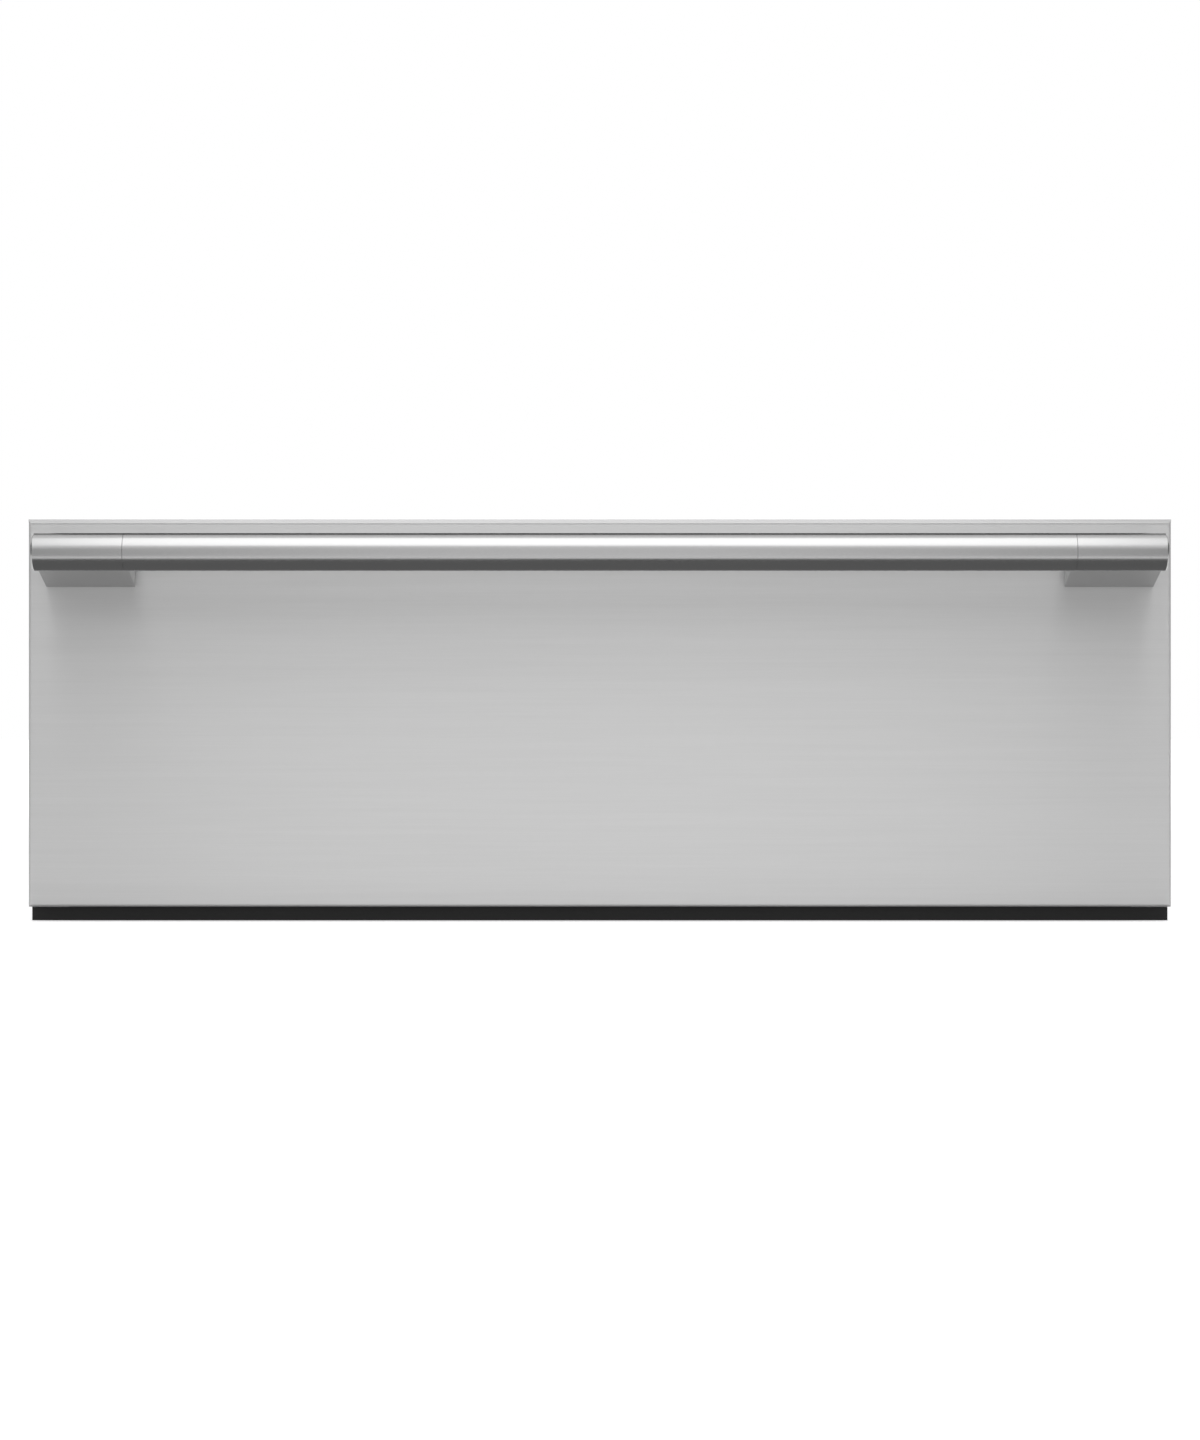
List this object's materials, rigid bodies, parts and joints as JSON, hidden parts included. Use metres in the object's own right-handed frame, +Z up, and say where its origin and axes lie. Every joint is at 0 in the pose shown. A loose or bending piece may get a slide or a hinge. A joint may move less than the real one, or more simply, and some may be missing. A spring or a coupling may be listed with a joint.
{
  "type": "vacuum sealing drawer",
  "caption": "Built-in vacuum sealing drawer: steel front with bar handle, housing, runners, and a chamber with a glass lid and seal bar.",
  "frame": {"origin": "middle of the overall width and depth, at the height of the feet's lower faces", "axes": "+X to the right as seen from the front, -Y out of the front, +Z up"},
  "size_m": [0.758, 0.6355, 0.267],
  "materials": {
    "front_steel": "fine horizontal brushing, satin",
    "handle_steel": "polished, faint brushing along the bar",
    "sheet_steel": "plain zinc-coated sheet, dull",
    "rail_steel": "bright zinc plate on cold-rolled strip",
    "chamber_steel": "drawn stainless steel, satin",
    "deck_steel": "stainless sheet brushed front to back",
    "plated_steel": "bright plated",
    "trim_black": "black powder coat, satin",
    "rubber_black": "matt moulded rubber",
    "silicone_grey": "soft matt silicone",
    "lid_glass": "clear toughened glass, polished edges",
    "control_black": "black glossy touch surface",
    "moulded_black": "fine matt moulding",
    "seal_body": "anodised extrusion",
    "release_tape": "woven coated tape over a heating wire",
    "pump_aluminium": "fine sand casting",
    "motor_grey": "grey paint on a cast body",
    "motor_core": "machined steel and laminations",
    "filter_white": "matt moulding",
    "valve_body": "machined block with wound coils",
    "hose_clear": "translucent silicone hose",
    "core_tape": "ring core wound in yellow tape",
    "board_green": "solder mask with components",
    "loom_black": "sheathed leads"
  },
  "bodies": {
    "housing": {"housing_base": "sheet_steel", "housing_back": "sheet_steel", "housing_front_rail": "sheet_steel", "base_trim": "trim_black", "feet": "rubber_black", "front_bumpers": "rubber_black", "power_inlet": "moulded_black", "housing_screws": "plated_steel", "housing_side_right": "sheet_steel", "housing_side_left": "sheet_steel", "runner_outer_right": "rail_steel", "runner_outer_left": "rail_steel"},
    "drawer": {"front_skin": "front_steel", "front_backing": "sheet_steel", "front_stiffeners": "sheet_steel", "handle_tube": "handle_steel", "handle_screws": "plated_steel", "drawer_floor": "sheet_steel", "drawer_back": "sheet_steel", "drawer_screws": "plated_steel", "deck": "deck_steel", "chamber": "chamber_steel", "chamber_port": "plated_steel", "lift_cylinders": "seal_body", "lid_hinge_blocks": "deck_steel", "control_glass": "control_black", "control_board": "moulded_black", "pump_mounts": "rubber_black", "vacuum_pump": "pump_aluminium", "pump_motor": "motor_grey", "motor_cowl": "trim_black", "exhaust_filter": "filter_white", "valve_block": "valve_body", "vacuum_hoses": "hose_clear", "transformer": "core_tape", "power_board": "board_green", "fan_frame": "moulded_black", "wiring_loom": "loom_black", "runner_inner_right": "rail_steel", "runner_inner_left": "rail_steel", "handle_bracket_right": "handle_steel", "handle_bracket_left": "handle_steel", "drawer_side_right": "sheet_steel", "drawer_side_left": "sheet_steel"},
    "lid": {"lid_glass": "lid_glass", "lid_gasket": "silicone_grey", "counter_bar": "silicone_grey", "lid_hinge_arms": "deck_steel", "lid_fasteners": "plated_steel"},
    "seal_bar_unit": {"seal_bar": "seal_body", "heating_strip": "release_tape", "lift_pistons": "plated_steel"},
    "cooling_fan": {"fan_rotor": "moulded_black"},
    "pump_shaft": {"pump_rotor": "motor_core"},
    "runner_middle_right_member": {"runner_middle_right": "rail_steel"},
    "runner_middle_left_member": {"runner_middle_left": "rail_steel"},
    "outer_ball_cage_right_member": {"outer_ball_cage_right": "rail_steel"},
    "outer_ball_cage_left_member": {"outer_ball_cage_left": "rail_steel"},
    "inner_ball_cage_right_member": {"inner_ball_cage_right": "rail_steel"},
    "inner_ball_cage_left_member": {"inner_ball_cage_left": "rail_steel"}
  },
  "joints": [
    {"name": "drawer_slide", "type": "slide", "parent": "housing", "child": "drawer", "axis": [0, -1, 0], "range_m": [0, 0.47]},
    {"name": "lid_hinge", "type": "hinge", "parent": "drawer", "child": "lid", "pos_m": [-0.11, 0.22925, 0.218], "axis": [-1, 0, 0], "range_deg": [0, 75]},
    {"name": "seal_bar_lift", "type": "slide", "parent": "drawer", "child": "seal_bar_unit", "axis": [0, 0, 1], "range_m": [0, 0.0057]},
    {"name": "fan_spin", "type": "hinge", "parent": "drawer", "child": "cooling_fan", "pos_m": [0.09, 0.24375, 0.09], "axis": [0, 1, 0], "continuous": true},
    {"name": "pump_spin", "type": "hinge", "parent": "drawer", "child": "pump_shaft", "pos_m": [0.2, -0.02375, 0.088], "axis": [0, 1, 0], "continuous": true},
    {"name": "runner_middle_right_slide", "type": "slide", "parent": "housing", "child": "runner_middle_right_member", "axis": [0, -1, 0], "range_m": [0, 0.235]},
    {"name": "runner_middle_left_slide", "type": "slide", "parent": "housing", "child": "runner_middle_left_member", "axis": [0, -1, 0], "range_m": [0, 0.235]},
    {"name": "outer_ball_cage_right_slide", "type": "slide", "parent": "housing", "child": "outer_ball_cage_right_member", "axis": [0, -1, 0], "range_m": [0, 0.1175]},
    {"name": "outer_ball_cage_left_slide", "type": "slide", "parent": "housing", "child": "outer_ball_cage_left_member", "axis": [0, -1, 0], "range_m": [0, 0.1175]},
    {"name": "inner_ball_cage_right_slide", "type": "slide", "parent": "housing", "child": "inner_ball_cage_right_member", "axis": [0, -1, 0], "range_m": [0, 0.3525]},
    {"name": "inner_ball_cage_left_slide", "type": "slide", "parent": "housing", "child": "inner_ball_cage_left_member", "axis": [0, -1, 0], "range_m": [0, 0.3525]}
  ],
  "couplings": [
    {"joint": "runner_middle_right_slide", "follows": "drawer_slide", "ratio": 0.5},
    {"joint": "runner_middle_left_slide", "follows": "drawer_slide", "ratio": 0.5},
    {"joint": "outer_ball_cage_right_slide", "follows": "drawer_slide", "ratio": 0.25},
    {"joint": "outer_ball_cage_left_slide", "follows": "drawer_slide", "ratio": 0.25},
    {"joint": "inner_ball_cage_right_slide", "follows": "drawer_slide", "ratio": 0.75},
    {"joint": "inner_ball_cage_left_slide", "follows": "drawer_slide", "ratio": 0.75}
  ]
}
